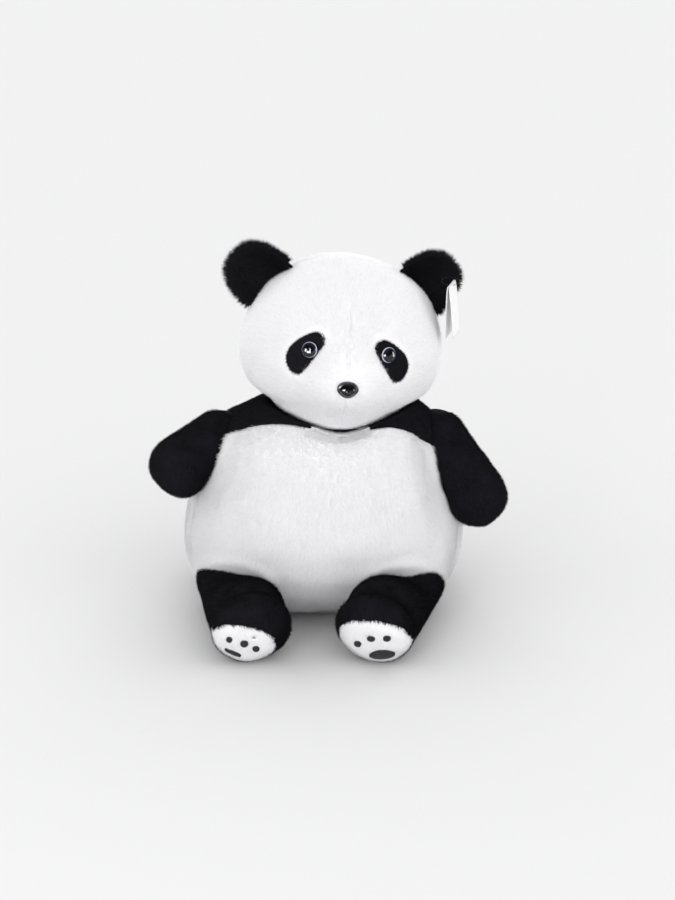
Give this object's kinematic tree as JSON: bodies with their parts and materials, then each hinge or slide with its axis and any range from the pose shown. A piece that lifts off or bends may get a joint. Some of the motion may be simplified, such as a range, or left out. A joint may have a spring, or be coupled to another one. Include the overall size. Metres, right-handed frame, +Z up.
{
  "type": "plush panda",
  "caption": "Seated plush panda: sewn pile covers over stuffing, with a neck, arms, legs and ears that flex, safety eyes and nose, soles and a blank hang tag.",
  "frame": {"origin": "on the floor under the middle of the seat", "axes": "+Z up, the toy faces -Y, +X is the viewer's right when looking at its face"},
  "size_m": [0.355, 0.3341, 0.3642],
  "materials": {
    "white_pile": "soft 4 to 5 mm plush pile",
    "black_pile": "soft 4 to 5 mm plush pile",
    "ear_pile": "longer, ragged plush pile",
    "short_black_pile": "short dense pile",
    "fibre_fill": "polyester fibre stuffing",
    "glossy_black_plastic": "polished",
    "washer_plastic": "moulded",
    "pad_fabric": "short flat pile",
    "thread": "twisted thread",
    "label_tape": "satin tape",
    "tag_card": "coated card",
    "loop_plastic": "clear filament"
  },
  "bodies": {
    "torso": {"belly_panel": "white_pile", "chest_yoke": "black_pile", "back_yoke": "black_pile", "back_panel_left": "white_pile", "back_panel_right": "white_pile", "seat_base": "white_pile", "body_stuffing": "fibre_fill", "closing_stitches": "thread", "care_label": "label_tape"},
    "neck": {"neck_fill": "black_pile"},
    "head": {"face_left": "white_pile", "face_right": "white_pile", "head_back": "white_pile", "head_stuffing": "fibre_fill", "eye_patch_left": "short_black_pile", "eye_patch_right": "short_black_pile", "eye_left": "glossy_black_plastic", "eye_right": "glossy_black_plastic", "eye_washer_left": "washer_plastic", "eye_washer_right": "washer_plastic", "nose": "glossy_black_plastic", "nose_washer": "washer_plastic"},
    "ear_left": {"ear_front_left": "ear_pile", "ear_back_left": "ear_pile"},
    "ear_right": {"ear_front_right": "ear_pile", "ear_back_right": "ear_pile", "tag_loop": "loop_plastic"},
    "tag": {"tag_leaf_inner": "tag_card"},
    "tag_flap": {"tag_leaf_outer": "tag_card"},
    "shoulder_left": {"shoulder_fill_left": "fibre_fill"},
    "shoulder_right": {"shoulder_fill_right": "fibre_fill"},
    "arm_left": {"arm_cover_left": "black_pile", "arm_stuffing_left": "fibre_fill"},
    "arm_right": {"arm_cover_right": "black_pile", "arm_stuffing_right": "fibre_fill"},
    "hip_left": {"hip_fill_left": "fibre_fill"},
    "hip_right": {"hip_fill_right": "fibre_fill"},
    "leg_left": {"leg_cover_left": "black_pile", "leg_stuffing_left": "fibre_fill", "sole_left": "white_pile", "heel_pad_left": "pad_fabric", "toe_pads_left": "pad_fabric"},
    "leg_right": {"leg_cover_right": "black_pile", "leg_stuffing_right": "fibre_fill", "sole_right": "white_pile", "heel_pad_right": "pad_fabric", "toe_pads_right": "pad_fabric"}
  },
  "joints": [
    {"name": "neck_turn", "type": "hinge", "parent": "torso", "child": "neck", "pos_m": [0.017, -0.011, 0.265], "axis": [0, 0, 1], "range_deg": [-25, 25], "stiffness_Nm_per_rad": 0.8},
    {"name": "head_nod", "type": "hinge", "parent": "neck", "child": "head", "pos_m": [0.017, -0.011, 0.265], "axis": [0.9962, 0.0872, 0], "range_deg": [-8, 8], "stiffness_Nm_per_rad": 2},
    {"name": "ear_left_fold", "type": "hinge", "parent": "head", "child": "ear_left", "pos_m": [-0.05714, -0.00544, 0.33294], "axis": [0.6769, 0.0592, 0.7337], "range_deg": [-25, 25], "stiffness_Nm_per_rad": 0.08},
    {"name": "ear_right_fold", "type": "hinge", "parent": "head", "child": "ear_right", "pos_m": [0.09776, 0.00811, 0.32207], "axis": [0.5685, 0.0497, -0.8212], "range_deg": [-25, 8], "stiffness_Nm_per_rad": 0.08},
    {"name": "tag_swing", "type": "hinge", "parent": "ear_right", "child": "tag", "pos_m": [0.125, -0.022, 0.3315], "axis": [1, 0, 0], "range_deg": [-40, 4]},
    {"name": "tag_open", "type": "hinge", "parent": "tag", "child": "tag_flap", "pos_m": [0.125, -0.022, 0.3315], "axis": [-0.2588, -0.9659, 0], "range_deg": [-4, 50], "stiffness_Nm_per_rad": 0.004},
    {"name": "arm_left_swing", "type": "hinge", "parent": "torso", "child": "shoulder_left", "pos_m": [-0.104, -0.016, 0.169], "axis": [1, 0, 0], "range_deg": [-30, 15], "stiffness_Nm_per_rad": 0.6},
    {"name": "arm_left_raise", "type": "hinge", "parent": "shoulder_left", "child": "arm_left", "pos_m": [-0.104, -0.016, 0.169], "axis": [0, 1, 0], "range_deg": [-6, 45], "stiffness_Nm_per_rad": 0.6},
    {"name": "arm_right_swing", "type": "hinge", "parent": "torso", "child": "shoulder_right", "pos_m": [0.114, -0.012, 0.168], "axis": [1, 0, 0], "range_deg": [-30, 15], "stiffness_Nm_per_rad": 0.6},
    {"name": "arm_right_raise", "type": "hinge", "parent": "shoulder_right", "child": "arm_right", "pos_m": [0.114, -0.012, 0.168], "axis": [0, -1, 0], "range_deg": [-6, 45], "stiffness_Nm_per_rad": 0.6},
    {"name": "leg_left_splay", "type": "hinge", "parent": "torso", "child": "hip_left", "pos_m": [-0.09, -0.064, 0.037], "axis": [0, 0, -1], "range_deg": [-8, 10], "stiffness_Nm_per_rad": 1.5},
    {"name": "leg_left_lift", "type": "hinge", "parent": "hip_left", "child": "leg_left", "pos_m": [-0.09, -0.064, 0.037], "axis": [-1, 0, 0], "range_deg": [0, 12], "stiffness_Nm_per_rad": 1.5},
    {"name": "leg_right_splay", "type": "hinge", "parent": "torso", "child": "hip_right", "pos_m": [0.086, -0.062, 0.037], "axis": [0, 0, 1], "range_deg": [-8, 10], "stiffness_Nm_per_rad": 1.5},
    {"name": "leg_right_lift", "type": "hinge", "parent": "hip_right", "child": "leg_right", "pos_m": [0.086, -0.062, 0.037], "axis": [-1, 0, 0], "range_deg": [0, 12], "stiffness_Nm_per_rad": 1.5}
  ]
}
